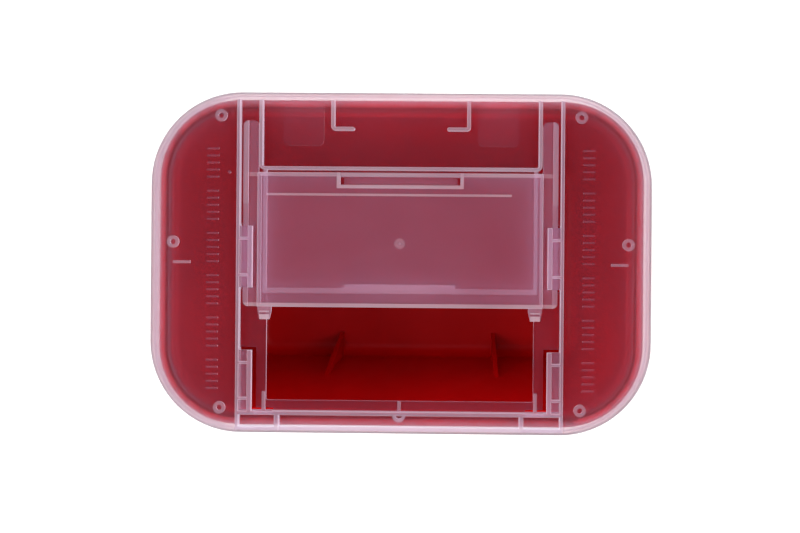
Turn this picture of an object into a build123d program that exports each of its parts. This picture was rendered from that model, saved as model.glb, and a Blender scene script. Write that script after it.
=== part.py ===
from build123d import *
import os
from math import atan, cos, degrees, radians, sin, tan

# A two-gallon (7.6 litre) sharps container: a nesting tub, a push-on lid with moulded rails and a
# door that slides along the lid to shut its drop opening. The origin is the middle of the tub's foot,
# +X is the long side, -Y is the front, where the drop opening is, and +Z is up.

os.makedirs("parts", exist_ok=True)

# ---------------------------------------------------------------- driving dimensions, millimetres

# Lid shell
deck_height = 250.0        # top face of the lid's deck above the table
lid_length = 266.6         # over the skirt's lower edge, along X
lid_width = 182.4          # over the skirt's lower edge, along Y
lid_corner = 49.7          # corner radius of the skirt's lower edge
lid_wall = 1.8             # deck and skirt
skirt_depth = 20.0         # from the deck's top face to the skirt's lower edge
skirt_flare = 1.9          # how far each side leans out on the way down
lid_edge = 3.0             # rounding where the deck turns into the skirt
plug_wall = 1.4            # wall under the deck that plugs into the tub's mouth
plug_depth = 7.0
plug_gap = 0.4             # between that wall and the tub's collar

# Tub
tub_wall = 2.2
bead_gap = 1.4             # between the rim's bead and the inside of the skirt, level with the deck
bead_reach = 2.0           # how far the bead stands out of the collar
bead_height = 3.0
bead_drop = 7.0            # from the deck's top face to the bead's top
bead_corner = 42.5         # corner radius of the bead
bead_round = 0.8
shoulder_round = 0.8
collar_height = 15.2       # straight band at the mouth
shoulder = 3.4             # step from the collar in to the tapered body
long_draft = 2.2           # degrees that the two long walls lean out
end_draft = 1.0            # degrees that the two end walls lean out
foot_corner = 14.0         # corner radius at the foot; it grows towards the rim
foot_height = 3.5          # the floor stands this far above the table
foot_width = 3.5
foot_round = 2.0           # outer edge of the foot
floor_wall = 2.2
floor_round = 9.0
web_wall = 2.6             # gussets between the floor and the long walls
web_reach = 17.0
web_height = 112.0
web_toe = 1.5              # height of a gusset's inner end
web_x = 55.0
lug_wall = 1.8             # ribs under the shoulder that keep nested tubs apart
lug_height = 15.0
lug_gap = 1.0              # how far a lug stays inside the collar's face
lug_face = 3.0             # height of a lug's outer face
lug_toe = 0.4              # how far a lug still stands out at its lower end
lug_long_x = 60.0          # outer lugs on the long walls; one more is in the middle
lug_end_y = 28.0           # lugs on the end walls
fill_line = 0.6            # how far the moulded fill mark stands out
fill_mark_drop = 65.0      # from the deck's top face down to the fill mark
fill_mark_length = 150.0
fill_mark_width = 1.6

# Labels
label_length = 132.0
label_height = 96.0
label_corner = 5.0
label_middle = 112.0       # height of the label's middle above the table
label_sheet = 0.3
label_recess = 0.5
label_gap = 0.6

# Drop opening
opening_length = 140.0
opening_depth = 55.9
opening_corner = 1.0
opening_sill = 5.1         # deck between the front wall and the opening

# Walls and ribs that stand on the deck
rail_gap = 1.4             # between a long rail and the door's runner
rail_wall = 1.6
rail_height = 5.5
rail_inset = 6.2           # from the skirt's lower edge at the rear to the rails' rear ends
lip_inset = 6.0            # from the skirt's lower edge at the front to the low lip's rear face
lip_wall = 2.0
lip_height = 4.0
front_wall_inset = 14.0    # to the rear face of the wall that the shut door meets
front_wall = 2.0
stop_side = 0.6            # the stop wall's legs stand this far inside the door's sides
stop_back_gap = 1.3        # from the open door to the stop wall
stop_wall = 1.8
stop_height = 5.0
stop_corner = 2.0
hook_x = 36.4              # the two small L-shaped ribs at the rear edge
hook_share = 0.432         # how much of the bay behind the stop wall they reach into
hook_end = 25.1
hook_wall = 1.9
hook_height = 3.5
hook_corner = 1.15
bearer_side = 0.7          # from the opening's end to the middle of the rib that the door passes over
bearer_wall = 1.7
bearer_height = 3.5
bearer_gap = 1.0           # from that rib to the end of the door's rear wall
cross_gap = 0.4            # from the opening to the cross rib
cross_wall = 2.6
latch_end_gap = 2.2        # the lip on the cross rib is shorter than the door's notch at each end
latch_reach = 2.2
latch_wall = 1.4
latch_window = 1.0         # window under the lip, larger than the lip at each end
ramp_offset = 3.0          # low rib beside the opening's front corner, from the lock tab's outer side
ramp_wall = 1.7
ramp_past = 4.6            # how far it runs past the opening's front edge
ramp_height = 1.4
box_side = 4.4             # lock box in each front corner: from the lock tab to its inner wall
box_wall = 2.2
slot_side_gap = 1.1        # between a lock tab and its slot
slot_low = 1.4
slot_cover = 0.6           # wall left above each slot
shutoff = 1.2              # narrow window in the deck below each slot
centre_rib = 1.7
boss_outer = 3.4
boss_inner = 1.8
bury = 0.2                 # how far a rib runs into its neighbour, so that they are one

# Clips that hold the door's runners down
clip_low = 3.2             # underside of the clip above the deck
clip_plate = 1.2
clip_rib = 1.5
clip_rib_inset = 6.5       # from the clip's ends to the middle of its cross ribs
clip_side_gap = 2.5        # from the door's raised part to the clip's free edge
clip_edge = 2.4            # raised strip along the clip's free edge
rear_clip_start = 3.2      # from the opening's rear edge
rear_clip_length = 32.1
front_clip_length = 31.6
clip_window = 1.2          # the deck's window under a clip is this much longer at each end
clip_window_side = 1.6     # and this much wider on its free side

# Moulded marks on the deck
ring_outer = 3.2
ring_inner = 1.4
ring_height = 1.0
ring_from_rail = 9.2       # four of the rings stand beside the rails' ends
ring_from_rear = 14.2
ring_from_front = 15.0
ring_from_end = 14.0       # the other two stand near the lid's ends
ring_end_y = 10.6
bar_from_end = 14.1
bar_length = 9.0
bar_wall = 1.5
bar_height = 0.9
dash_from_rail = 13.4      # to the middle of the band of short bars on each side
dash_length = 6.2
dash_width = 0.9
dash_height = 0.4
dash_pitch = 3.7
dash_group = 5
dash_margin = 23.2         # from the skirt's lower edge to the band's end
pad_inner = 40.4
pad_outer = 61.7
pad_share = 0.645          # how much of the bay behind the stop wall the pads reach into
pad_height = 0.3
pad_corner = 3.0
gate_radius = 0.8
gate_from_rail = 4.8
gate_y = 47.3

# Door
slide_gap = 0.3            # between the door's runners and the deck, and under the clips
stop_gap = 0.3             # between the shut door and the front wall
runner_width = 7.9         # from the raised part's side to the runner's outer edge
runner_plate = 1.4
runner_inset = 10.8        # from the rails' rear ends to the open door's runners
runner_corner = 2.7
runner_root = 1.0          # how far the runner's plate reaches in under the side wall
ridge_width = 2.7
ridge_tall_length = 43.5   # the ridge is taller over this length at the rear
ridge_low = 0.6
door_side_lap = 4.3        # how far the raised part covers the deck beside the opening
door_front_lap = 6.7       # how far the open door's front edge stands over the opening
door_spare = 14.1          # how much deeper the door is than the opening
door_wall = 1.5
door_top = 5.5             # top of the raised part above the deck
end_wall = 2.0
front_beam_low = 1.8       # underside of the front beam above the deck
beam_thick = 1.0           # the beam's middle is this much thicker
beam_middle = 27.0
tab_side = 0.2             # from the door's side to the lock tab's outer side
tab_width = 7.1
tab_reach = 6.7
tab_straight = 2.35        # the tab tapers beyond this
tab_low = 2.0
tab_plate = 1.6
tab_tip = 1.0              # the tip is narrower by this on each side
barb_height = 0.8
barb_root = 2.0            # the barb's slopes and crest, counted from the door's front edge
barb_crest_start = 3.0
barb_crest_end = 4.0
notch_length = 62.4
notch_depth = 6.4
notch_rim = 1.8
notch_rise = 0.8
tongue_gap = 1.5           # the tongue is shorter than the notch by this at each end
tongue_setback = 0.6
tongue_plate = 1.2
line_from_rear = 11.5      # fine moulded line on the door
line_from_left = 4.8
line_from_right = 16.4
line_width = 1.2
line_height = 0.5
sprue_from_rear = 36.8
sprue_radius = 2.8
sprue_depth = 0.4
sprue_nub = 0.7
sprue_rise = 0.2
edge_break = 0.4           # small rounding of moulded edges

# ---------------------------------------------------------------- sizes that follow from them

skirt_draft = degrees(atan(skirt_flare / skirt_depth))
deck_under = deck_height - lid_wall
bead_length = lid_length - 2 * (skirt_flare + lid_wall + bead_gap)
bead_width = lid_width - 2 * (skirt_flare + lid_wall + bead_gap)
collar_length = bead_length - 2 * bead_reach
collar_width = bead_width - 2 * bead_reach
collar_corner = bead_corner - bead_reach
shoulder_height = deck_under - collar_height
body_length = collar_length - 2 * shoulder
body_width = collar_width - 2 * shoulder
body_corner = collar_corner - shoulder
foot_length = body_length - 2 * shoulder_height * tan(radians(end_draft))
foot_depth = body_width - 2 * shoulder_height * tan(radians(long_draft))
floor_height = foot_height + floor_wall
bead_low = deck_height - bead_drop - bead_height
fill_mark_height = deck_height - fill_mark_drop

# Across the lid, from the opening outwards
door_side = opening_length / 2 + door_side_lap
runner_outer = door_side + runner_width
rail_inside = runner_outer + rail_gap
rail_outside = rail_inside + rail_wall
bearer_in = opening_length / 2 + bearer_side - bearer_wall / 2
bearer_out = bearer_in + bearer_wall
stop_x = door_side - stop_side
tab_outer = door_side - tab_side
tab_inner = tab_outer - tab_width
ramp_x = tab_outer - ramp_offset
box_inside = tab_inner - box_side
clip_inside = door_side + clip_side_gap

# From the lid's front edge to its rear edge
lip_inside = lip_inset - lid_width / 2
lip_front = lip_inside - lip_wall
front_wall_rear = front_wall_inset - lid_width / 2
front_wall_front = front_wall_rear - front_wall
opening_front = front_wall_rear + opening_sill
opening_rear = opening_front + opening_depth
door_front = opening_rear - door_front_lap
door_rear = door_front + opening_depth + door_spare
stop_y = door_rear + stop_back_gap
rail_rear = lid_width / 2 - rail_inset
rear_bay = rail_rear - stop_y
hook_y = rail_rear - rear_bay * hook_share
pad_front = rail_rear - rear_bay * pad_share
runner_rear = rail_rear - runner_inset
ridge_step = runner_rear - ridge_tall_length
notch_front = door_rear - notch_depth
tongue_front = notch_front + tongue_setback
cross_front = opening_rear + cross_gap
cross_rear = cross_front + cross_wall
door_travel = door_front - front_wall_rear - stop_gap

# Up from the deck
tall_ridge = clip_low - slide_gap
slot_high = rail_height - slot_cover


def wall_y(height):
    """Half the tub's outer width at a height, where its long walls are."""
    return foot_depth / 2 + height * tan(radians(long_draft))


def wall_x(height):
    """Half the tub's outer length at a height."""
    return foot_length / 2 + height * tan(radians(end_draft))


def wall_corner(height):
    """The corner radius of the tub's outside at a height."""
    return foot_corner + (body_corner - foot_corner) * height / shoulder_height


def tapered_body(low, high, inset, mode=Mode.ADD):
    """The tub's tapered body between two heights, drawn in from its outside by an inset."""
    sections = []
    for height in (low, high):
        with BuildSketch(Plane.XY.offset(height)) as section:
            RectangleRounded(
                2 * (wall_x(height) - inset), 2 * (wall_y(height) - inset), wall_corner(height) - inset
            )
        sections.append(section.sketch)
    loft(sections, ruled=True, mode=mode)


def slab(length, width, corner, low, height, taper=0.0, mode=Mode.ADD):
    """A plate with rounded corners that starts at one height and leans by its taper."""
    with BuildSketch(Plane.XY.offset(low)) as outline:
        RectangleRounded(length, width, corner)
    extrude(outline.sketch, amount=height, taper=taper, mode=mode)


def block(x_span, y_span, z_span, mode=Mode.ADD):
    """A square block between two x, two y and two z values."""
    middle = [(span[0] + span[1]) / 2 for span in (x_span, y_span, z_span)]
    size = [abs(span[1] - span[0]) for span in (x_span, y_span, z_span)]
    with Locations(tuple(middle)):
        Box(*size, mode=mode)


def on_deck(x_span, y_span, low, high, mode=Mode.ADD):
    """A block whose heights are counted from the deck's top face."""
    block(x_span, y_span, (deck_height + low, deck_height + high), mode)


def both_sides(x_span, y_span, low, high, mode=Mode.ADD):
    """The same block on the left and on the right."""
    for side in (-1, 1):
        on_deck((side * x_span[0], side * x_span[1]), y_span, low, high, mode)


def level_edges(part, height):
    """The edges that lie flat at one height."""
    return part.edges().filter_by_position(Axis.Z, height - 0.01, height + 0.01)


def label_plane(side, depth):
    """The plane of the front (-1) or back (1) wall, a little way into it, at the label's middle."""
    tilt = radians(long_draft)
    outward = Vector(0, side * cos(tilt), -sin(tilt))
    centre = Vector(0, side * wall_y(label_middle), label_middle) - outward * depth
    return Plane(origin=centre, x_dir=(-side, 0, 0), z_dir=outward)


# ---------------------------------------------------------------- tub

with BuildPart() as base_container:
    # The bead that the lid's skirt closes over, rounded while it stands alone, then the collar behind
    # it and the tapered body below.
    slab(bead_length, bead_width, bead_corner, bead_low, bead_height)
    for height in (bead_low, bead_low + bead_height):
        fillet(level_edges(base_container, height), bead_round)
    slab(
        collar_length, collar_width, collar_corner, shoulder_height - tub_wall, collar_height + tub_wall
    )
    tapered_body(0, shoulder_height, 0)
    # Hollow: the collar, then the body down to a rounded floor.
    slab(
        collar_length - 2 * tub_wall, collar_width - 2 * tub_wall, collar_corner - tub_wall,
        shoulder_height, collar_height, mode=Mode.SUBTRACT,
    )
    tapered_body(floor_height, shoulder_height, tub_wall, Mode.SUBTRACT)
    fillet(level_edges(base_container, floor_height), floor_round)
    fillet(level_edges(base_container, shoulder_height), shoulder_round)
    fillet(level_edges(base_container, shoulder_height - tub_wall), shoulder_round)
    fillet(level_edges(base_container, 0), foot_round)
    # The foot is a standing rim round a raised floor.
    slab(
        foot_length - 2 * foot_width, foot_depth - 2 * foot_width, foot_corner - foot_width,
        0, foot_height, mode=Mode.SUBTRACT,
    )
    # Gussets between the floor and the long walls, inside.
    for side in (-1, 1):
        low_y = side * (wall_y(floor_height) - tub_wall / 2)
        high_y = side * (wall_y(floor_height + web_height) - tub_wall / 2)
        reach_y = side * (wall_y(floor_height) - tub_wall - web_reach)
        for x in (-web_x, web_x):
            with BuildSketch(Plane.YZ.offset(x - web_wall / 2)):
                Polygon(
                    (low_y, floor_height - floor_wall / 2),
                    (reach_y, floor_height - floor_wall / 2),
                    (reach_y, floor_height + web_toe),
                    (high_y, floor_height + web_height),
                    align=None,
                )
            extrude(amount=web_wall)
    # Lugs under the shoulder, outside: they carry the rim and keep nested tubs apart.
    lug_top = shoulder_height - tub_wall / 2
    lug_low = lug_top - lug_height
    for side in (-1, 1):
        for x in (-lug_long_x, 0, lug_long_x):
            with BuildSketch(Plane.YZ.offset(x - lug_wall / 2)):
                Polygon(
                    (side * (wall_y(lug_top) - tub_wall / 2), lug_top),
                    (side * (collar_width / 2 - lug_gap), lug_top),
                    (side * (collar_width / 2 - lug_gap), lug_top - lug_face),
                    (side * (wall_y(lug_low) + lug_toe), lug_low),
                    (side * (wall_y(lug_low) - tub_wall / 2), lug_low),
                    align=None,
                )
            extrude(amount=lug_wall)
        for y in (-lug_end_y, lug_end_y):
            with BuildSketch(Plane.XZ.offset(-y - lug_wall / 2)):
                Polygon(
                    (side * (wall_x(lug_top) - tub_wall / 2), lug_top),
                    (side * (collar_length / 2 - lug_gap), lug_top),
                    (side * (collar_length / 2 - lug_gap), lug_top - lug_face),
                    (side * (wall_x(lug_low) + lug_toe), lug_low),
                    (side * (wall_x(lug_low) - tub_wall / 2), lug_low),
                    align=None,
                )
            extrude(amount=lug_wall)
    # Fill mark: one raised line on the front wall and one on the back wall.
    for side in (-1, 1):
        proud = side * (wall_y(fill_mark_height) + fill_line)
        buried = side * (wall_y(fill_mark_height) - tub_wall / 2)
        block(
            (-fill_mark_length / 2, fill_mark_length / 2),
            (buried, proud),
            (fill_mark_height - fill_mark_width / 2, fill_mark_height + fill_mark_width / 2),
        )
    # A shallow recess for each label.
    for side in (-1, 1):
        with BuildSketch(label_plane(side, 0)):
            RectangleRounded(
                label_length + 2 * label_gap, label_height + 2 * label_gap, label_corner + label_gap
            )
        extrude(amount=-label_recess, mode=Mode.SUBTRACT)

base_container.part.label = "base_container"
export_step(base_container.part, "parts/base_container.step")

# ---------------------------------------------------------------- labels, blank

for label_name, side in (("front_label", -1), ("back_label", 1)):
    with BuildPart() as label_sheet_part:
        with BuildSketch(label_plane(side, label_recess)):
            RectangleRounded(label_length, label_height, label_corner)
        extrude(amount=label_sheet)
    label_sheet_part.part.label = label_name
    export_step(label_sheet_part.part, f"parts/{label_name}.step")

# ---------------------------------------------------------------- lid

with BuildPart() as lid:
    # Shell: a flat deck with a rounded edge and a skirt that leans out.
    slab(lid_length, lid_width, lid_corner, deck_height - skirt_depth, skirt_depth, skirt_draft)
    fillet(lid.edges().group_by(Axis.Z)[-1], lid_edge)
    slab(
        lid_length - 2 * lid_wall, lid_width - 2 * lid_wall, lid_corner - lid_wall,
        deck_height - skirt_depth, skirt_depth - lid_wall, skirt_draft, Mode.SUBTRACT,
    )
    # Wall under the deck that plugs into the tub's mouth.
    plug_length = collar_length - 2 * tub_wall - 2 * plug_gap
    plug_width = collar_width - 2 * tub_wall - 2 * plug_gap
    plug_corner = collar_corner - tub_wall - plug_gap
    with BuildSketch(Plane.XY.offset(deck_under - plug_depth)):
        RectangleRounded(plug_length, plug_width, plug_corner)
        RectangleRounded(
            plug_length - 2 * plug_wall, plug_width - 2 * plug_wall, plug_corner - plug_wall,
            mode=Mode.SUBTRACT,
        )
    extrude(amount=plug_depth + lid_wall / 2)

    # Two long rails, the low lip along the front edge and the wall that the shut door meets.
    both_sides((rail_inside, rail_outside), (lip_front, rail_rear), -lid_wall / 2, rail_height)
    on_deck((-rail_outside, rail_outside), (lip_front, lip_inside), -lid_wall / 2, lip_height)
    on_deck((-rail_outside, rail_outside), (front_wall_front, front_wall_rear), -lid_wall / 2, rail_height)
    # Lock boxes in the two front corners.
    both_sides((box_inside, box_inside + box_wall), (lip_front, front_wall_rear), -lid_wall / 2, rail_height)
    both_sides((box_inside, rail_outside), (lip_front, lip_inside), -lid_wall / 2, rail_height)

    # Stop wall behind the open door, and the pads and hooks at the rear edge.
    with BuildSketch(Plane.XY.offset(deck_height - lid_wall / 2)):
        with BuildLine():
            FilletPolyline(
                (-stop_x + stop_wall / 2, rail_rear),
                (-stop_x + stop_wall / 2, stop_y + stop_wall / 2),
                (stop_x - stop_wall / 2, stop_y + stop_wall / 2),
                (stop_x - stop_wall / 2, rail_rear),
                radius=stop_corner,
            )
        trace(line_width=stop_wall)
    extrude(amount=stop_height + lid_wall / 2)
    fillet(level_edges(lid, deck_height + stop_height), edge_break)
    for side in (-1, 1):
        leg = side * (hook_x - hook_wall / 2)
        with BuildSketch(Plane.XY.offset(deck_height - lid_wall / 2)):
            with BuildLine():
                FilletPolyline(
                    (leg, rail_rear),
                    (leg, hook_y + hook_wall / 2),
                    (side * hook_end, hook_y + hook_wall / 2),
                    radius=hook_corner,
                )
            trace(line_width=hook_wall)
            with Locations((side * hook_end, hook_y + hook_wall / 2)):
                Circle(hook_wall / 2)
        extrude(amount=hook_height + lid_wall / 2)
    fillet(level_edges(lid, deck_height + hook_height), edge_break)
    pad_depth = rail_rear - pad_front
    for side in (-1, 1):
        pad_middle = (side * (pad_inner + pad_outer) / 2, (pad_front + rail_rear) / 2)
        with BuildSketch(Plane.XY.offset(deck_height - lid_wall / 2)):
            with Locations(pad_middle):
                RectangleRounded(pad_outer - pad_inner, pad_depth, min(pad_corner, pad_depth / 3))
        extrude(amount=pad_height + lid_wall / 2)

    # Drop opening.
    with BuildSketch(Plane.XY.offset(deck_height - 2 * lid_wall)):
        with Locations((0, (opening_front + opening_rear) / 2)):
            RectangleRounded(opening_length, opening_rear - opening_front, opening_corner)
    extrude(amount=3 * lid_wall, mode=Mode.SUBTRACT)

    # Ribs that the door passes over, and the latch lip on the cross rib with its window below.
    latch_length = notch_length - 2 * latch_end_gap
    both_sides((bearer_in, bearer_out), (cross_front, stop_y + stop_wall / 2), -lid_wall / 2, bearer_height)
    on_deck((-bearer_out, bearer_out), (cross_front, cross_rear), -lid_wall / 2, bearer_height)
    on_deck(
        (-latch_length / 2 - latch_window, latch_length / 2 + latch_window),
        (cross_rear, cross_rear + latch_reach + latch_window), -2 * lid_wall, lid_wall, Mode.SUBTRACT,
    )
    on_deck(
        (-latch_length / 2, latch_length / 2), (cross_rear - bury, cross_rear + latch_reach),
        bearer_height - latch_wall, bearer_height,
    )
    both_sides(
        (ramp_x - ramp_wall / 2, ramp_x + ramp_wall / 2), (front_wall_rear - bury, opening_front + ramp_past),
        -lid_wall / 2, ramp_height,
    )
    on_deck(
        (-centre_rib / 2, centre_rib / 2), (front_wall_rear - bury, opening_front),
        -lid_wall / 2, ramp_height,
    )
    with BuildSketch(Plane.XY.offset(deck_height - lid_wall / 2)):
        with Locations((0, front_wall_front)):
            Circle(boss_outer)
            Circle(boss_inner, mode=Mode.SUBTRACT)
        with Locations((0, front_wall_front + boss_outer)):
            Rectangle(2 * boss_outer, 2 * boss_outer, mode=Mode.SUBTRACT)
    extrude(amount=lip_height + lid_wall / 2)

    # Slots for the lock tabs, each with its narrow window in the deck.
    slot_span = (tab_inner - slot_side_gap, tab_outer + slot_side_gap)
    both_sides(
        slot_span, (front_wall_front - bury, front_wall_rear + bury), slot_low, slot_high, Mode.SUBTRACT
    )
    for low_x, high_x in ((slot_span[0], ramp_x - ramp_wall / 2), (ramp_x + ramp_wall / 2, slot_span[1])):
        both_sides(
            (low_x, high_x), (front_wall_rear, front_wall_rear + shutoff), -2 * lid_wall, lid_wall,
            Mode.SUBTRACT,
        )

    # Clips over the runners: a plate that reaches in from the rail, with a raised free edge and two
    # cross ribs, above a window in the deck.
    clip_top = clip_low + clip_plate
    rear_clip_front = opening_rear + rear_clip_start
    for clip_front, clip_length in (
        (rear_clip_front, rear_clip_length),
        (front_wall_rear, front_clip_length),
    ):
        clip_rear = clip_front + clip_length
        window_front = max(clip_front - clip_window, front_wall_rear)
        both_sides(
            (clip_inside - clip_window_side, rail_inside), (window_front, clip_rear + clip_window),
            -2 * lid_wall, lid_wall,
            Mode.SUBTRACT,
        )
        both_sides((clip_inside, rail_inside + rail_wall / 2), (clip_front, clip_rear), clip_low, clip_top)
        both_sides((clip_inside, clip_inside + clip_edge), (clip_front, clip_rear), clip_low, rail_height)
        for rib_y in (clip_rear - clip_rib_inset, clip_front + clip_rib_inset):
            both_sides(
                (clip_inside, rail_inside + rail_wall / 2), (rib_y - clip_rib / 2, rib_y + clip_rib / 2),
                clip_low, rail_height,
            )

    # Soften the tops of the rails, walls, boxes and clips.
    fillet(level_edges(lid, deck_height + rail_height), edge_break)

    # Moulded marks: rings, short bars, a band of plain dashes on each side and the gate's nub.
    ring_spots = (
        (rail_outside + ring_from_rail, lid_width / 2 - ring_from_rear),
        (lid_length / 2 - ring_from_end, ring_end_y),
        (rail_outside + ring_from_rail, ring_from_front - lid_width / 2),
    )
    for side in (-1, 1):
        with BuildSketch(Plane.XY.offset(deck_height - lid_wall / 2)):
            with Locations([(side * x, y) for x, y in ring_spots]):
                Circle(ring_outer)
                Circle(ring_inner, mode=Mode.SUBTRACT)
        extrude(amount=ring_height + lid_wall / 2)
    bar_outer = lid_length / 2 - bar_from_end
    both_sides((bar_outer - bar_length, bar_outer), (-bar_wall / 2, bar_wall / 2), -lid_wall / 2, bar_height)
    dash_band = lid_width / 2 - dash_margin
    steps = int(2 * dash_band / dash_pitch)
    dash_spots = [
        (side * (rail_outside + dash_from_rail), -dash_band + (index + 0.5) * dash_pitch)
        for side in (-1, 1)
        for index in range(steps)
        if index % (dash_group + 1) != dash_group
    ]
    with BuildSketch(Plane.XY.offset(deck_height - lid_wall / 2)):
        with Locations(dash_spots):
            Rectangle(dash_length, dash_width)
    extrude(amount=dash_height + lid_wall / 2)
    with BuildSketch(Plane.XY.offset(deck_height - lid_wall / 2)):
        with Locations((-rail_outside - gate_from_rail, gate_y)):
            Circle(gate_radius)
    extrude(amount=ring_height / 2 + lid_wall / 2)

lid.part.label = "lid"
export_step(lid.part, "parts/lid.step")

# ---------------------------------------------------------------- door

with BuildPart() as slide_door:
    runner_top = slide_gap + runner_plate
    # Runners, one each side, with a ridge along the outer edge that is taller at the rear.
    runner_spot = ((door_side + runner_outer) / 2, (door_front + runner_rear) / 2)
    runner_length = runner_rear - door_front
    root_outer = door_side + runner_corner
    for side in (-1, 1):
        with BuildSketch(Plane.XY.offset(deck_height + slide_gap)):
            with Locations((side * runner_spot[0], runner_spot[1])):
                RectangleRounded(runner_width, runner_length, runner_corner)
            with Locations((side * (root_outer + door_side - runner_root) / 2, (door_front + door_rear) / 2)):
                Rectangle(root_outer - door_side + runner_root, door_rear - door_front)
        extrude(amount=runner_plate)
        for ridge_front, ridge_top in ((door_front, runner_top + ridge_low), (ridge_step, tall_ridge)):
            ridge_middle = (side * (runner_outer - ridge_width / 2), (ridge_front + runner_rear) / 2)
            with BuildSketch(Plane.XY.offset(deck_height + slide_gap)):
                with Locations((side * runner_spot[0], runner_spot[1])):
                    RectangleRounded(runner_width, runner_length, runner_corner)
                with Locations(ridge_middle):
                    Rectangle(ridge_width, runner_rear - ridge_front, mode=Mode.INTERSECT)
            extrude(amount=ridge_top - slide_gap)
    # Raised part: side walls, a flat panel, the rear wall and the front beam.
    both_sides((door_side - door_wall, door_side), (door_front, door_rear), slide_gap, door_top)
    on_deck((-door_side, door_side), (door_front, door_rear), door_top - door_wall, door_top)
    on_deck((-door_side, door_side), (door_front, door_front + end_wall), front_beam_low, door_top)
    fillet(level_edges(slide_door, deck_height + door_top), edge_break)
    rear_half = bearer_in - bearer_gap
    on_deck(
        (-rear_half, rear_half), (door_rear - end_wall, door_rear - edge_break / 2),
        slide_gap, door_top - door_wall / 2,
    )
    on_deck(
        (-beam_middle / 2, beam_middle / 2), (door_front, door_front + end_wall + beam_thick),
        front_beam_low, door_top,
    )
    # Lock tabs: a tapering tongue with a small barb on top.
    for side in (-1, 1):
        with BuildSketch(Plane.XY.offset(deck_height + tab_low)):
            Polygon(
                (side * tab_inner, door_front + end_wall / 2),
                (side * tab_inner, door_front - tab_straight),
                (side * (tab_inner + tab_tip), door_front - tab_reach),
                (side * (tab_outer - tab_tip), door_front - tab_reach),
                (side * tab_outer, door_front - tab_straight),
                (side * tab_outer, door_front + end_wall / 2),
                align=None,
            )
        extrude(amount=tab_plate)
        tab_top = deck_height + tab_low + tab_plate
        barb_span = sorted((side * (tab_inner + tab_tip), side * (tab_outer - tab_tip)))
        with BuildSketch(Plane.YZ.offset(barb_span[0])):
            Polygon(
                (door_front - tab_reach, tab_top - bury),
                (door_front - tab_reach, tab_top),
                (door_front - barb_crest_end, tab_top + barb_height),
                (door_front - barb_crest_start, tab_top + barb_height),
                (door_front - barb_root, tab_top - bury),
                align=None,
            )
        extrude(amount=barb_span[1] - barb_span[0])
    # Finger notch in the rear edge, with a raised rim, and the tongue below it that goes under the
    # lid's latch lip when the door is shut.
    half_notch = notch_length / 2
    on_deck(
        (-half_notch - notch_rim, half_notch + notch_rim), (notch_front - notch_rim, door_rear),
        door_top - door_wall, door_top + notch_rise,
    )
    on_deck(
        (-half_notch, half_notch), (notch_front, door_rear - end_wall), slide_gap + tongue_plate,
        door_top + 2 * notch_rise, Mode.SUBTRACT,
    )
    on_deck(
        (-half_notch, half_notch), (door_rear - end_wall, door_rear), door_top, door_top + 2 * notch_rise,
        Mode.SUBTRACT,
    )
    on_deck(
        (-half_notch + tongue_gap, half_notch - tongue_gap), (tongue_front, door_rear - end_wall / 2),
        slide_gap, slide_gap + tongue_plate,
    )
    # Fine line and sprue mark on the panel.
    line_y = door_rear - line_from_rear
    on_deck(
        (line_from_left - door_side, door_side - line_from_right),
        (line_y - line_width / 2, line_y + line_width / 2), door_top - door_wall / 2, door_top + line_height,
    )
    sprue_spot = (0, door_rear - sprue_from_rear)
    with BuildSketch(Plane.XY.offset(deck_height + door_top)):
        with Locations(sprue_spot):
            Circle(sprue_radius)
    extrude(amount=-sprue_depth, mode=Mode.SUBTRACT)
    with BuildSketch(Plane.XY.offset(deck_height + door_top - door_wall / 2)):
        with Locations(sprue_spot):
            Circle(sprue_nub)
    extrude(amount=door_wall / 2 + sprue_rise)

slide_door.part.label = "slide_door"
export_step(slide_door.part, "parts/slide_door.step")

print("deck half outline", lid_length / 2 - skirt_flare, lid_width / 2 - skirt_flare)
print("foot", foot_length, foot_depth, "floor at", floor_height, "clip inside", clip_inside)
print("door travel", door_travel)
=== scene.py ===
# %% [markdown]
# # A sharps container in cloudy and red plastic
# The container is three mouldings: a red tub, a cloudy lid and a cloudy door that slides on the lid.
# Two paper labels go on the tub. The shapes could be modelled again here, but moulded parts are just
# what CAD draws well. So the CAD model is loaded as a fixed frame, and everything after this is finish,
# light and camera.

# %% Load the frame
import math

import bpy
from mathutils import Matrix, Vector


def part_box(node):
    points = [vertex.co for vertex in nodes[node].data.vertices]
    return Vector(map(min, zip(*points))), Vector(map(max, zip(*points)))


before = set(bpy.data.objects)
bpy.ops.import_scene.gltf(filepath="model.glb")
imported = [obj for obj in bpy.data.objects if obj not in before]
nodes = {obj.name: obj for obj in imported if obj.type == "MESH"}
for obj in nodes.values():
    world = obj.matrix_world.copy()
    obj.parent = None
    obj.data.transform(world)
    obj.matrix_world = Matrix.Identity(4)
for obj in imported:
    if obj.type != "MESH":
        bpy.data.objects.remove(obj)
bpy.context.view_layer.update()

print("pieces in the frame:", sorted(nodes))

# %% [markdown]
# ## The deck's height
# The deck is the flat top of the lid. Much of the lid's look depends on how far a spot stands above it,
# so its height is needed early. It could be typed in, but then it would go wrong with the next change
# of the tub. Instead it is found from the lid's box: the rails are the highest thing on the lid.

# %% Find the deck
MM = 0.001
RAIL_HEIGHT = 5.5 * MM
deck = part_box("lid")[1].z - RAIL_HEIGHT
print("deck height in metres:", round(deck, 4))

# %% [markdown]
# ## Colours
# Plastic colours are easiest to judge as a screen shows them, but the renderer wants linear light.
# A colour picker could convert them by hand. A short function keeps the familiar numbers readable.


# %% Screen colour to linear light
def screen(red, green, blue):
    def linear(part):
        part = part / 255
        return part / 12.92 if part <= 0.04045 else ((part + 0.055) / 1.055) ** 2.4

    return (linear(red), linear(green), linear(blue), 1.0)


print("a screen's middle grey in linear light:", round(screen(128, 128, 128)[0], 3))

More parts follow.
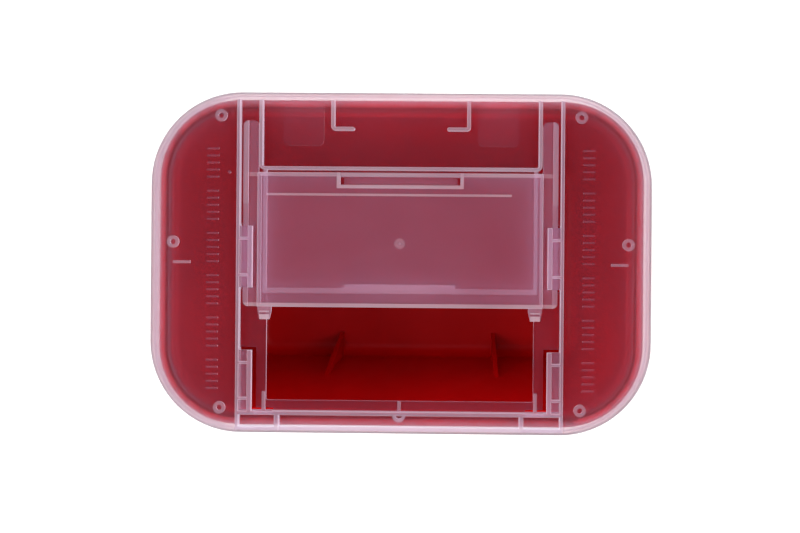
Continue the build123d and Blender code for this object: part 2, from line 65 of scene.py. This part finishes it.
# %% [markdown]
# ## A workbench for node materials
# Each finish is a net of nodes. Written out with Blender's own calls, every node takes four or five
# lines, and the recipe is lost among them. This class adds a node and feeds its inputs in one line:
# an input gets a link when the value is a socket, and a plain number or colour otherwise.


# %% The workbench
class Finish:
    """A node material under construction."""

    def __init__(self, name):
        self.material = bpy.data.materials.new(name)
        self.material.use_nodes = True
        self.tree = self.material.node_tree
        self.tree.nodes.clear()

    def node(self, kind, inputs=None, **settings):
        made = self.tree.nodes.new("ShaderNode" + kind)
        for key, value in settings.items():
            setattr(made, key, value)
        for key, value in (inputs or {}).items():
            if isinstance(value, bpy.types.NodeSocket):
                self.tree.links.new(value, made.inputs[key])
            else:
                made.inputs[key].default_value = value
        return made

    def finish(self, shader):
        self.node("OutputMaterial", {"Surface": shader})
        print("finish", self.material.name, "has", len(self.tree.nodes), "nodes")
        return self.material


# %% [markdown]
# ## Noise, ramps and bump
# Moulded plastic is never quite even: the melt flows in, cools and leaves faint clouds and ripples.
# Those could be painted as images. Noise in object space needs no image, has no seams, and stays on
# the piece when it moves. A ramp turns the noise into colours, and a bump node into small hills.


# %% Noise, ramp and bump helpers
def place(f):
    return f.node("TexCoord").outputs["Object"]


def noise(f, scale, detail=2.0, roughness=0.5, stretch=(1, 1, 1)):
    spot = f.node("Mapping", {"Vector": place(f), "Scale": stretch}).outputs[0]
    inputs = {"Vector": spot, "Scale": scale, "Detail": detail, "Roughness": roughness}
    return f.node("TexNoise", inputs).outputs["Fac"]


def ramp(f, value, stops):
    made = f.node("ValToRGB", {"Fac": value})
    points = made.color_ramp.elements
    while len(points) < len(stops):
        points.new(0.5)
    for point, (position, shade) in zip(points, stops):
        point.position = position
        point.color = shade if isinstance(shade, tuple) else (shade, shade, shade, 1.0)
    return made.outputs["Color"]


def bump(f, height, strength, distance, under=None):
    inputs = {"Height": height, "Strength": strength, "Distance": distance}
    if under:
        inputs["Normal"] = under
    return f.node("Bump", inputs).outputs[0]


print("noise, ramp and bump are ready for any finish")

# %% [markdown]
# Noise values crowd about the middle, so a plain multiplication would waste most of their swing.
# This helper stretches that middle part over any range. It could be cut off straight at both ends, but
# that leaves outlines in a glossy wall, so it eases in and out.

# %% Spread noise over a range
NOISE_LOW, NOISE_HIGH = 0.25, 0.75


def spread(f, cloud, low, high):
    ends = {1: NOISE_LOW, 2: NOISE_HIGH, 3: low, 4: high}
    return f.node("MapRange", {"Value": cloud} | ends, interpolation_type="SMOOTHSTEP").outputs[0]


print("noise is taken as lying between", NOISE_LOW, "and", NOISE_HIGH)

# %% [markdown]
# ## Red tub
# The tub is polypropylene dyed red. It looks solid in the hand, yet some daylight glows through its
# thin walls. It could be a glossy solid, but then its inside would go black, or a true scattering
# volume, which is slow and noisy. Here a glossy red surface is mixed with a little translucent shader.
# Tall flow clouds shift the colour, and broad rubs from stacking dull the gloss.

# %% Red translucent plastic
RED_DARK, RED_LIGHT = screen(172, 3, 5), screen(194, 4, 8)
SEE_THROUGH = 0.1


def red_plastic():
    f = Finish("red_tub")
    flow = noise(f, 9, 4, 0.55, stretch=(1, 1, 0.35))
    colour = ramp(f, spread(f, flow, 0.0, 1.0), [(0.0, RED_DARK), (1.0, RED_LIGHT)])
    rubs = spread(f, noise(f, 30, stretch=(1, 1, 0.3)), 0.0, 0.08)
    rough = f.node("Math", {0: spread(f, flow, 0.29, 0.37), 1: rubs}, operation="ADD").outputs[0]
    ripple = bump(f, noise(f, 45), 0.04, 0.4 * MM)
    grain = bump(f, noise(f, 900), 0.05, 0.05 * MM, under=ripple)
    inputs = {"Base Color": colour, "Roughness": rough, "Normal": grain, "IOR": 1.49}
    body = f.node("BsdfPrincipled", inputs | {"Specular IOR Level": 0.12})
    glow = f.node("BsdfTranslucent", {"Color": colour, "Normal": grain})
    mixed = f.node("MixShader", {0: SEE_THROUGH, 1: body.outputs[0], 2: glow.outputs[0]})
    return f.finish(mixed.outputs[0])


# %% [markdown]
# A finish goes onto a CAD piece as it is: the mesh stays, and only its material slot changes.


# %% Put the red plastic on the tub
def paint(node, material):
    mesh = nodes[node].data
    mesh.materials.clear()
    mesh.materials.append(material)
    print(material.name, "is on", node)


paint("base_container", red_plastic())

# %% [markdown]
# ## Cloudy plastic: the idea
# Undyed polypropylene is milky. A thin plate only veils what is behind it, and a wall seen along its
# height turns nearly white, because light crosses more plastic. A scattering volume would do that on
# its own, but plates under two millimetres take very many samples. Here every spot gets a veil of two
# shares: a glow, light that passes and spreads, and a white, light that comes back off the surface.
# What neither takes goes straight through. The shares are worked out from where the spot is, so the
# cell begins with sums and masks.


# %% Arithmetic on node values
def calc(f, operation, first, second=0.0, clamp=False):
    return f.node("Math", {0: first, 1: second}, operation=operation, use_clamp=clamp).outputs[0]


def between(f, value, start, end):
    """One where the value lies between start and end, and nothing elsewhere."""
    return calc(f, "MULTIPLY", calc(f, "GREATER_THAN", value, start), calc(f, "LESS_THAN", value, end))


print("a mask is a node value of nought or one")

# %% [markdown]
# The first clue is height. The top of a rib has the whole rib under it, so it is whiter than the deck.
# A list of steps gives the glow and the white for each height above the deck, in millimetres.


# %% Veil by height
def veil_by_height(f, height, steps):
    low, high = steps[0][0], steps[-1][0]
    along = calc(f, "DIVIDE", calc(f, "SUBTRACT", height, low), high - low, clamp=True)
    glow = ramp(f, along, [((at - low) / (high - low), share) for at, share, white in steps])
    white = ramp(f, along, [((at - low) / (high - low), share) for at, glow_share, share in steps])
    return glow, white


def at_least(f, veil, where, least):
    """The veil, made no thinner than least at the spots that the mask marks."""
    return [calc(f, "MAXIMUM", share, calc(f, "MULTIPLY", where, low)) for share, low in zip(veil, least)]


print("a veil has two shares: glow and white")

# %% [markdown]
# The second clue is which way a face looks. Upright faces catch the light along their length, so they
# are whiter than flat faces at the same height. Rounded edges get a painted highlight: their white share
# is raised further, which draws light outlines along the filleted edges. The skirt hangs free of the tub
# and has only a thin veil. Each kind of face gets a mask and the least veil it must have.

# %% Veil by the tilt of a face
SKIRT = (0.2, 0.06)
UPRIGHT = (0.6, 0.16)
# Rounded edges carry a painted highlight: a larger white share than upright faces.
ROUNDED_HIGHLIGHT = (0.6, 0.22)
UPRIGHT_TILT, FLAT_TILT = 0.3, 0.96
DECK_START = -0.1


def veil_by_tilt(f, veil, height, tilt):
    over_deck = calc(f, "GREATER_THAN", height, DECK_START)
    under_deck = calc(f, "SUBTRACT", 1.0, over_deck)
    upright = calc(f, "LESS_THAN", tilt, UPRIGHT_TILT)
    # This mask marks the rounded edges that get the painted highlight.
    rounded_highlight = between(f, tilt, UPRIGHT_TILT, FLAT_TILT)
    veil = at_least(f, veil, calc(f, "MULTIPLY", upright, under_deck), SKIRT)
    veil = at_least(f, veil, calc(f, "MULTIPLY", upright, over_deck), UPRIGHT)
    return at_least(f, veil, calc(f, "MULTIPLY", rounded_highlight, over_deck), ROUNDED_HIGHLIGHT)


print("white shares: skirt", SKIRT[1], "upright", UPRIGHT[1], "rounded_highlight", ROUNDED_HIGHLIGHT[1])

# %% [markdown]
# The third clue is which side the light comes from. A ray meets a plate twice, once going in and once
# coming out, so a veil on both faces would count the plate double. The veil is kept for the face where
# the ray enters. A slow noise makes some spots cloudier than others, as cooling does.

# %% Keep the veil for the entering face
CLOUD_LOW, CLOUD_HIGH = 0.85, 1.15


def veil_once(f, veil, backfacing, cloud):
    entering = calc(f, "SUBTRACT", 1.0, backfacing)
    uneven = calc(f, "MULTIPLY", spread(f, cloud, CLOUD_LOW, CLOUD_HIGH), entering)
    glow, white = veil
    return calc(f, "MULTIPLY", glow, entering), calc(f, "MULTIPLY", white, uneven)


print("clouds vary the white between", CLOUD_LOW, "and", CLOUD_HIGH, "times its share")

# %% [markdown]
# Now the three parts of the light are mixed. The clear part goes grey where a face is seen along its
# edge. The glow is faintly violet, as thin milky plastic scatters blue light more, and the white turns
# from lilac in a thin veil to milk in a thick one. The gloss has the same small ripples as the tub.

# %% Mix clear, glow and white
MILK, LILAC = screen(240, 222, 236), screen(230, 196, 246)
GLOW = (1.0, 0.8, 1.0, 1.0)
CLEAR = (0.995, 0.955, 0.955, 1.0)
CLEAR_EDGE = (0.59, 0.64, 0.65, 1.0)
EDGE_TILT, FACE_TILT = 0.75, 0.98
THIN_VEIL, THICK_VEIL = 0.02, 0.16


def mix_veil(f, veil, tilt, cloud):
    glow_share, white_share = veil
    ripple = bump(f, noise(f, 60), 0.06, 0.3 * MM)
    grain = bump(f, noise(f, 1100), 0.06, 0.04 * MM, under=ripple)
    colour = ramp(f, white_share, [(THIN_VEIL, LILAC), (THICK_VEIL, MILK)])
    inputs = {"Base Color": colour, "Roughness": spread(f, cloud, 0.3, 0.4), "Normal": grain, "IOR": 1.49}
    white = f.node("BsdfPrincipled", inputs).outputs[0]
    glow = f.node("BsdfTranslucent", {"Color": GLOW, "Normal": grain}).outputs[0]
    tint = ramp(f, tilt, [(EDGE_TILT, CLEAR_EDGE), (FACE_TILT, CLEAR)])
    clear = f.node("BsdfTransparent", {"Color": tint}).outputs[0]
    veiled = f.node("MixShader", {0: glow_share, 1: clear, 2: glow}).outputs[0]
    return f.node("MixShader", {0: white_share, 1: veiled, 2: white}).outputs[0]


print("an edge-on wall passes", CLEAR_EDGE[0], "of the red light and a flat one", CLEAR[0])

# %% [markdown]
# The steps come together in one function, so that the lid and the door share the recipe and differ
# only in their lists. The door also has walls that run under its flat top. They can't be told by
# height, so they are given as bands: an axis, where the band starts and ends in millimetres, and the
# least veil in it. Along X the two sides are mirror images.

# %% Cloudy plastic
ALONG_X = 0


def cloudy_plastic(name, steps, walls=()):
    f = Finish(name)
    geometry = f.node("NewGeometry").outputs
    spot = f.node("SeparateXYZ", {"Vector": place(f)}).outputs
    tilt = calc(f, "ABSOLUTE", f.node("SeparateXYZ", {"Vector": geometry["Normal"]}).outputs["Z"])
    height = calc(f, "DIVIDE", calc(f, "SUBTRACT", spot["Z"], deck), MM)
    veil = veil_by_height(f, height, steps)
    for axis, start, end, least in walls:
        across = calc(f, "ABSOLUTE", spot[axis]) if axis == ALONG_X else spot[axis]
        veil = at_least(f, veil, between(f, across, start * MM, end * MM), least)
    veil = veil_by_tilt(f, veil, height, tilt)
    cloud = noise(f, 14, 4, 0.6)
    veil = veil_once(f, veil, geometry["Backfacing"], cloud)
    return f.finish(mix_veil(f, veil, tilt, cloud))


print("the cloudy recipe takes a list of steps and a list of walls")

# %% [markdown]
# ## The lid's finish
# The list runs from below the deck to the rails' tops. The skirt hangs below and is nearly clear, and
# the deck, at nought, lets most light through with a soft glow. The small dashes stand 0.4 mm high, the
# ejector rings 1 mm, the hooks 3.5 mm and the rails 5.5 mm. Between 4.3 and 4.5 mm lie only the tops of
# the clips' plates, which are thin, so they stay nearly clear too.

# %% The lid
LID_STEPS = [
    (-3, 0.2, 0.012), (-2, 0.2, 0.012), (-1.2, 0.64, 0.012), (0.1, 0.64, 0.012), (0.3, 0.64, 0.018),
    (0.45, 0.66, 0.05), (0.9, 0.7, 0.11), (3.4, 0.75, 0.13), (4.1, 0.75, 0.13), (4.3, 0.52, 0.02),
    (4.5, 0.52, 0.02), (4.9, 0.75, 0.14), (5.1, 0.75, 0.14), (5.5, 0.75, 0.11),
]
paint("lid", cloudy_plastic("cloudy_lid", LID_STEPS))

# %% [markdown]
# ## The door's finish
# The door rides a little above the deck on two runners with a ridge on each. Its raised panel is
# 1.5 mm thick, with a rimmed notch in its rear edge, and walls hang under it: one in front, one behind
# and one at each side. The panel is thin, so the walls show through it as paler bands.

# %% The sliding door
DOOR_STEPS = [
    (0, 0.5, 0.04), (1.8, 0.5, 0.06), (2.2, 0.7, 0.1), (3.3, 0.75, 0.15), (3.9, 0.42, 0.046),
    (4.9, 0.42, 0.046), (5.05, 0.4, 0.1), (5.2, 0.4, 0.1), (5.4, 0.4, 0.04), (5.5, 0.4, 0.04),
    (5.8, 0.7, 0.14), (6.3, 0.8, 0.17),
]
ALONG_Y = 1
DOOR_WALLS = [
    (ALONG_Y, 45.1, 47.2, (0.7, 0.14)),
    (ALONG_Y, -23.0, -20.9, (0.7, 0.17)),
    (ALONG_X, 72.8, 74.3, (0.6, 0.11)),
]
paint("slide_door", cloudy_plastic("cloudy_door", DOOR_STEPS, DOOR_WALLS))

# %% [markdown]
# ## Blank labels
# A container like this carries a paper label front and back. These are blank forms on purpose: cream
# stock with a printed border, a plain colour band and rules to write on, and no words or signs. They
# could be image textures, but rectangles and stripes are easily said in node arithmetic, from the
# distance to the label's middle.


# %% Printed shapes
def filled_box(f, across, up, half_length, half_height):
    wide = calc(f, "LESS_THAN", across, half_length * MM)
    return calc(f, "MULTIPLY", wide, calc(f, "LESS_THAN", calc(f, "ABSOLUTE", up), half_height * MM))


def border(f, across, up, half_length, half_height, line):
    outer = filled_box(f, across, up, half_length, half_height)
    inner = filled_box(f, across, up, half_length - line, half_height - line)
    return calc(f, "SUBTRACT", outer, inner)


def rules(f, across, up, pitch, line, half_length, top):
    """Level rules a pitch apart, from top down."""
    phase = calc(f, "PINGPONG", up, 0.5 * pitch * MM)
    ruled = calc(f, "LESS_THAN", phase, 0.5 * line * MM)
    ruled = calc(f, "MULTIPLY", ruled, calc(f, "LESS_THAN", up, top * MM))
    return calc(f, "MULTIPLY", ruled, calc(f, "LESS_THAN", across, half_length * MM))


print("the print needs three shapes: box, border, rules")

# %% [markdown]
# Printing puts ink over the fibres, so the print is mixed over the paper's colour, and the fibre stays
# in the bump under both. The sizes are in millimetres from the label's middle: a half length and a half
# height for the border and the band, and the pitch of the rules.

# %% Label stock
PAPER_DARK, PAPER_LIGHT = screen(206, 200, 182), screen(220, 215, 199)
INK_RED, INK_GREY = screen(150, 16, 20), screen(112, 108, 104)
BORDER = {"half_length": 62, "half_height": 44, "line": 1.2}
RULES = {"pitch": 11, "line": 0.5, "half_length": 56, "top": 4}
BAND_LOW, BAND_HIGH, BAND_HALF = 18, 40, 58


def label_stock():
    f = Finish("label_sheet")
    low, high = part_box("front_label")
    middle = (low.z + high.z) / 2
    spot = f.node("SeparateXYZ", {"Vector": place(f)}).outputs
    across = calc(f, "ABSOLUTE", spot["X"])
    up = calc(f, "SUBTRACT", spot["Z"], middle)
    fibre = noise(f, 600, 5, 0.7, stretch=(1, 1, 0.3))
    paper = ramp(f, fibre, [(NOISE_LOW, PAPER_DARK), (NOISE_HIGH, PAPER_LIGHT)])
    level = between(f, up, BAND_LOW * MM, BAND_HIGH * MM)
    band = calc(f, "MULTIPLY", level, calc(f, "LESS_THAN", across, BAND_HALF * MM))
    red = calc(f, "MAXIMUM", band, border(f, across, up, **BORDER))
    printed = f.node("Mix", {0: red, 6: paper, 7: INK_RED}, data_type="RGBA").outputs[2]
    ruled = rules(f, across, up, **RULES)
    colour = f.node("Mix", {0: ruled, 6: printed, 7: INK_GREY}, data_type="RGBA").outputs[2]
    inputs = {"Base Color": colour, "Roughness": spread(f, fibre, 0.55, 0.7), "Specular IOR Level": 0.3}
    inputs["Normal"] = bump(f, fibre, 0.15, 0.05 * MM)
    return f.finish(f.node("BsdfPrincipled", inputs).outputs[0])


for label in ("front_label", "back_label"):
    paint(label, label_stock())

# %% [markdown]
# ## Floor
# The container stands on a plain pale table. A photographer's sweep could hide the horizon, but a large
# flat plane is enough for a view from above.

# %% A pale floor
FLOOR_HALF = 20.0
FLOOR_TONE = [(NOISE_LOW, (0.86, 0.86, 0.86, 1)), (NOISE_HIGH, (0.88, 0.88, 0.88, 1))]


def floor():
    corners = [(x * FLOOR_HALF, y * FLOOR_HALF, 0) for x, y in ((-1, -1), (1, -1), (1, 1), (-1, 1))]
    mesh = bpy.data.meshes.new("floor")
    mesh.from_pydata(corners, [], [(0, 1, 2, 3)])
    made = bpy.data.objects.new("floor", mesh)
    bpy.context.scene.collection.objects.link(made)
    f = Finish("pale_floor")
    inputs = {"Base Color": ramp(f, noise(f, 3), FLOOR_TONE), "Roughness": 0.7}
    mesh.materials.append(f.finish(f.node("BsdfPrincipled", inputs).outputs[0]))


floor()
print("floor is", 2 * FLOOR_HALF, "metres wide")

# %% [markdown]
# ## Soft lights
# A product table has large soft lamps. Straight overhead, their mirror images would lie on the flat
# deck as a white haze, so the strong ones stand to the left and right, and weak ones in front and
# behind fill the walls.

# %% Lights
AIM = Vector((0, 0, 0.15))


def soft_light(name, stand, size, power):
    data = bpy.data.lights.new(name, "AREA")
    data.shape = "RECTANGLE"
    data.size, data.size_y = size
    data.energy = power
    made = bpy.data.objects.new(name, data)
    made.location = stand
    made.rotation_euler = (AIM - Vector(stand)).to_track_quat("-Z", "Y").to_euler()
    bpy.context.scene.collection.objects.link(made)
    print(name, power, "W from", round((AIM - Vector(stand)).length, 2), "m")


soft_light("left_light", (-1.5, 0.2, 1.9), (1.0, 1.4), 52)
soft_light("right_light", (1.5, -0.1, 1.9), (1.0, 1.4), 44)
soft_light("front_light", (0.1, -1.7, 1.2), (1.4, 0.9), 10)
soft_light("back_light", (0.0, 1.6, 1.4), (1.4, 0.9), 4)

# %% [markdown]
# The room around the table is a pale wall that turns dark overhead, for the same reason: a bright
# ceiling would mirror in the deck. The world shader shades it by how high a direction points.

# %% The room
WALL_TOP, CEILING = (0.75, (0.8, 0.8, 0.8, 1)), (0.97, (0.05, 0.05, 0.05, 1))
ROOM_STRENGTH = 0.8


def studio_world():
    world = bpy.data.worlds.new("studio")
    world.use_nodes = True
    tree = world.node_tree
    way = tree.nodes.new("ShaderNodeSeparateXYZ")
    tree.links.new(tree.nodes.new("ShaderNodeTexCoord").outputs["Generated"], way.inputs[0])
    shade = tree.nodes.new("ShaderNodeValToRGB")
    tree.links.new(way.outputs["Z"], shade.inputs["Fac"])
    for point, (position, tone) in zip(shade.color_ramp.elements, (WALL_TOP, CEILING)):
        point.position, point.color = position, tone
    tree.links.new(shade.outputs["Color"], tree.nodes["Background"].inputs["Color"])
    tree.nodes["Background"].inputs["Strength"].default_value = ROOM_STRENGTH
    bpy.context.scene.world = world


studio_world()
bpy.context.scene.view_settings.view_transform = "Standard"
print("room strength", ROOM_STRENGTH)

# %% [markdown]
# ## Camera
# The container is seen almost straight from above, from a little right of its middle, so that the tub
# shows through the drop opening. The camera could be aimed at a target, but close to straight down
# that leaves the roll loose, so its lean and roll are given outright. A small shift centres the lid.

# %% Camera
LEAN, ROLL = math.radians(-0.777), math.radians(-0.473)
RIGHT, BACK, ABOVE_DECK = 0.0331, 0.0062, 0.6082
FOCAL_MM, SENSOR_MM = 52.29, 36


def camera():
    data = bpy.data.cameras.new("camera")
    data.sensor_width = SENSOR_MM
    data.lens = FOCAL_MM
    data.shift_x, data.shift_y = -0.0597, -0.0180
    data.clip_start = 0.01
    made = bpy.data.objects.new("camera", data)
    turn = Matrix.Rotation(ROLL, 3, "Z") @ Matrix.Rotation(LEAN, 3, "Y")
    made.rotation_euler = turn.transposed().to_euler()
    made.location = (RIGHT, BACK, deck + ABOVE_DECK)
    bpy.context.scene.collection.objects.link(made)
    bpy.context.scene.camera = made
    return made


print("camera stands at", [round(v, 3) for v in camera().location])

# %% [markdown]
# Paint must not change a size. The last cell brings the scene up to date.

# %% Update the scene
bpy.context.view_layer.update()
